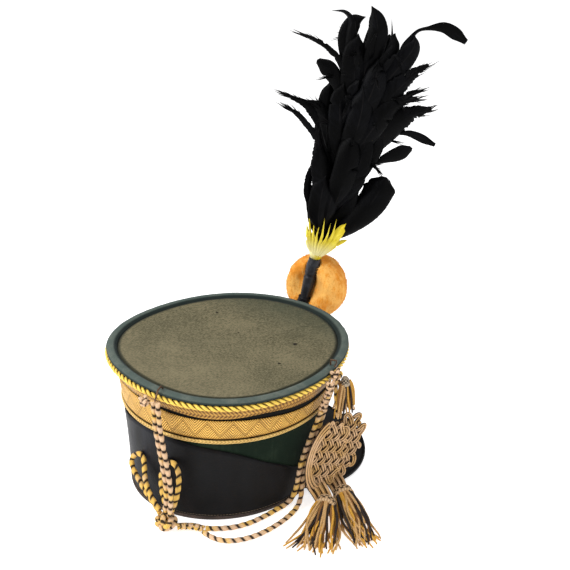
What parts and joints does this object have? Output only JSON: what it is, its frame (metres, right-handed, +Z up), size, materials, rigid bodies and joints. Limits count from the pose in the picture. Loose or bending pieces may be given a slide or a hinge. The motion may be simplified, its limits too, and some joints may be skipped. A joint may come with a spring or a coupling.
{
  "type": "shako hat",
  "caption": "Cloth-covered drum shako with a leather guard and peak, gold laces, a tall black and yellow feather plume, a wool pompom, and pale cords with woven mats and tassels.",
  "frame": {"origin": "centre of the head opening at the foot of the hat", "axes": "+Z up from the foot to the crown's top, the front of the hat towards -Y, the wearer's right towards -X"},
  "size_m": [0.3191, 0.3837, 0.425],
  "materials": {
    "green_cloth": "dark green wool cloth",
    "top_cloth": "worn olive-brown woven cloth",
    "welt_cloth": "faded teal-grey cloth",
    "gold_lace": "woven gold thread",
    "black_leather": "worn polished black",
    "brown_binding": "dark brown worn binding",
    "orange_wool": "dense orange wool",
    "yellow_feather": "pale yellow feather",
    "black_feather": "black feather with a soft sheen",
    "pale_cord": "pale gold and brown thread",
    "tassel_thread": "gold-brown silky thread",
    "dull_metal": "dull bent wire"
  },
  "bodies": {
    "root": {"crown_wall": "green_cloth", "crown_top": "top_cloth", "top_welt": "welt_cloth", "rim_cord": "gold_lace", "upper_lace": "gold_lace", "lower_lace": "gold_lace", "lace_piping": "gold_lace", "leather_guard": "black_leather", "foot_binding": "brown_binding", "peak": "black_leather", "peak_binding": "black_leather", "plume_socket": "black_leather", "plume_stem": "black_feather", "plume_yellow": "yellow_feather", "plume_black": "black_feather", "pompom": "orange_wool", "side_hook": "dull_metal", "back_hook": "dull_metal", "side_knot": "pale_cord", "back_knot": "pale_cord", "slide_knot": "pale_cord", "braid_right": "pale_cord", "plait_left": "pale_cord", "cord_inner": "pale_cord", "cord_outer": "pale_cord", "hanging_cord_left": "pale_cord", "hanging_cord_right": "pale_cord", "loop_left": "pale_cord", "loop_right": "pale_cord", "mat_cord_front": "pale_cord", "mat_cord_back": "pale_cord", "mat_front": "pale_cord", "mat_back": "pale_cord", "tassel_front": "tassel_thread", "tassel_back": "tassel_thread", "small_tassel": "tassel_thread"}
  },
  "joints": []
}
